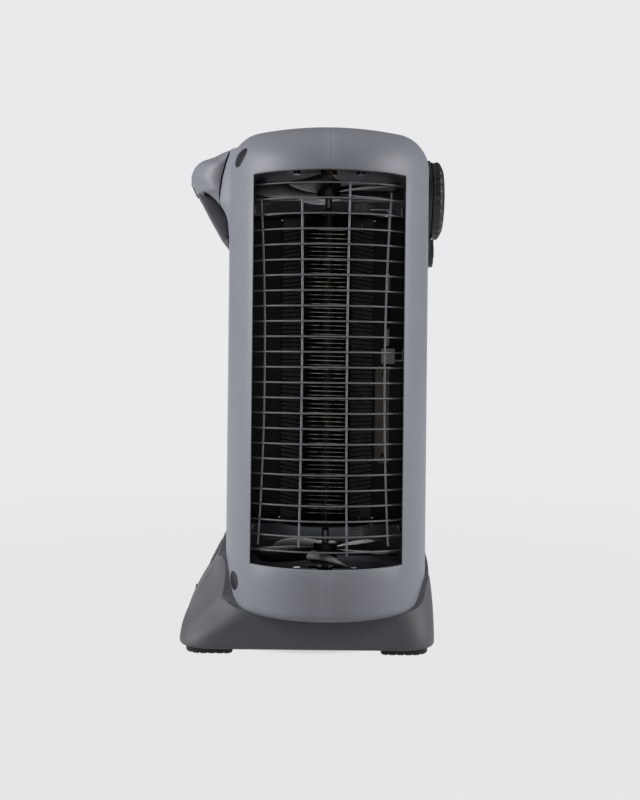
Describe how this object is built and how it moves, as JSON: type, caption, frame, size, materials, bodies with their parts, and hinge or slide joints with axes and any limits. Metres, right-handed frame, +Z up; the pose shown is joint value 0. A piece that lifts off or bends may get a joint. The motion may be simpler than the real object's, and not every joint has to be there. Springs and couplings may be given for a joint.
{
  "type": "fan heater",
  "caption": "Tall grey fan heater with a bowed wire grille on each side, a wound hexagonal element between two fans, a front dial, a rear handle and a flared base.",
  "frame": {"origin": "on the floor, under the middle of the heater's overall box", "axes": "+Z up, +X to the front (the dial's side), +Y to the left outlet"},
  "size_m": [0.2117, 0.26, 0.4124],
  "materials": {
    "shell_grey": "satin",
    "base_grey": "matte",
    "dark_plastic": "matte",
    "plug_grey": "matte",
    "white_plastic": "matte",
    "lens_orange": "gloss",
    "foot_rubber": "matte",
    "grille_wire": "satin",
    "screw_steel": "satin",
    "sheet_steel": "satin",
    "fan_sheet": "satin",
    "resistance_wire": "satin",
    "mica_board": "matte",
    "white_ceramic": "matte",
    "copper_winding": "satin",
    "bush_bronze": "satin"
  },
  "bodies": {
    "body": {"front_shell": "shell_grey", "rear_shell": "shell_grey", "casing_screws": "screw_steel", "screw_plugs": "plug_grey", "rear_handle": "shell_grey", "handle_inner": "shell_grey", "grip_well": "shell_grey", "grip_strap": "base_grey", "handle_screw": "screw_steel", "handle_plug": "plug_grey", "right_grille": "grille_wire", "left_grille": "grille_wire", "front_heat_shield": "sheet_steel", "rear_heat_shield": "sheet_steel", "front_baffle": "sheet_steel", "rear_baffle": "sheet_steel", "wiring_guard": "mica_board", "base_housing": "base_grey", "base_plate": "base_grey", "rubber_feet": "foot_rubber", "base_screws": "screw_steel", "front_vent": "dark_plastic", "rear_vent": "dark_plastic", "cord_gland": "dark_plastic", "tip_switch": "dark_plastic", "terminal_block": "white_plastic", "control_bezel": "dark_plastic", "thermostat": "sheet_steel", "mode_switch": "base_grey", "pilot_lens": "lens_orange", "motor_core": "sheet_steel", "motor_coil": "copper_winding", "lower_bearing": "sheet_steel", "upper_bearing": "sheet_steel", "motor_screws": "screw_steel", "top_bracket": "sheet_steel", "top_bush": "bush_bronze", "bracket_screws": "screw_steel", "mica_boards": "mica_board", "upper_spider": "sheet_steel", "lower_spider": "sheet_steel", "core_tube": "white_ceramic", "tie_rods": "screw_steel", "heating_wire": "resistance_wire", "upper_terminal": "white_ceramic", "lower_terminal": "white_ceramic", "thermal_fuse": "copper_winding", "fuse_sleeves": "white_ceramic", "thermal_cutout": "white_ceramic", "element_lead": "screw_steel"},
    "fan_rotor": {"drive_shaft": "screw_steel", "motor_rotor": "screw_steel", "lower_fan": "fan_sheet", "upper_fan": "fan_sheet"},
    "dial": {"thermostat_dial": "dark_plastic", "dial_shaft": "screw_steel"},
    "slider": {"mode_slider": "white_plastic"},
    "plunger": {"tip_plunger": "white_plastic"}
  },
  "joints": [
    {"name": "fan_spin", "type": "hinge", "parent": "body", "child": "fan_rotor", "pos_m": [0.01065, 0, 0.2], "axis": [0, 0, 1], "continuous": true},
    {"name": "dial_turn", "type": "hinge", "parent": "body", "child": "dial", "pos_m": [0.09665, 0, 0.358], "axis": [1, 0, 0], "range_deg": [-270, 0]},
    {"name": "mode_slide", "type": "slide", "parent": "body", "child": "slider", "axis": [0, 0, 1], "range_m": [-0.0035, 0.0035]},
    {"name": "tip_over_slide", "type": "slide", "parent": "body", "child": "plunger", "axis": [0, 0, -1], "range_m": [0, 0.006], "stiffness_N_per_m": 30, "springref_m": 0.006}
  ]
}
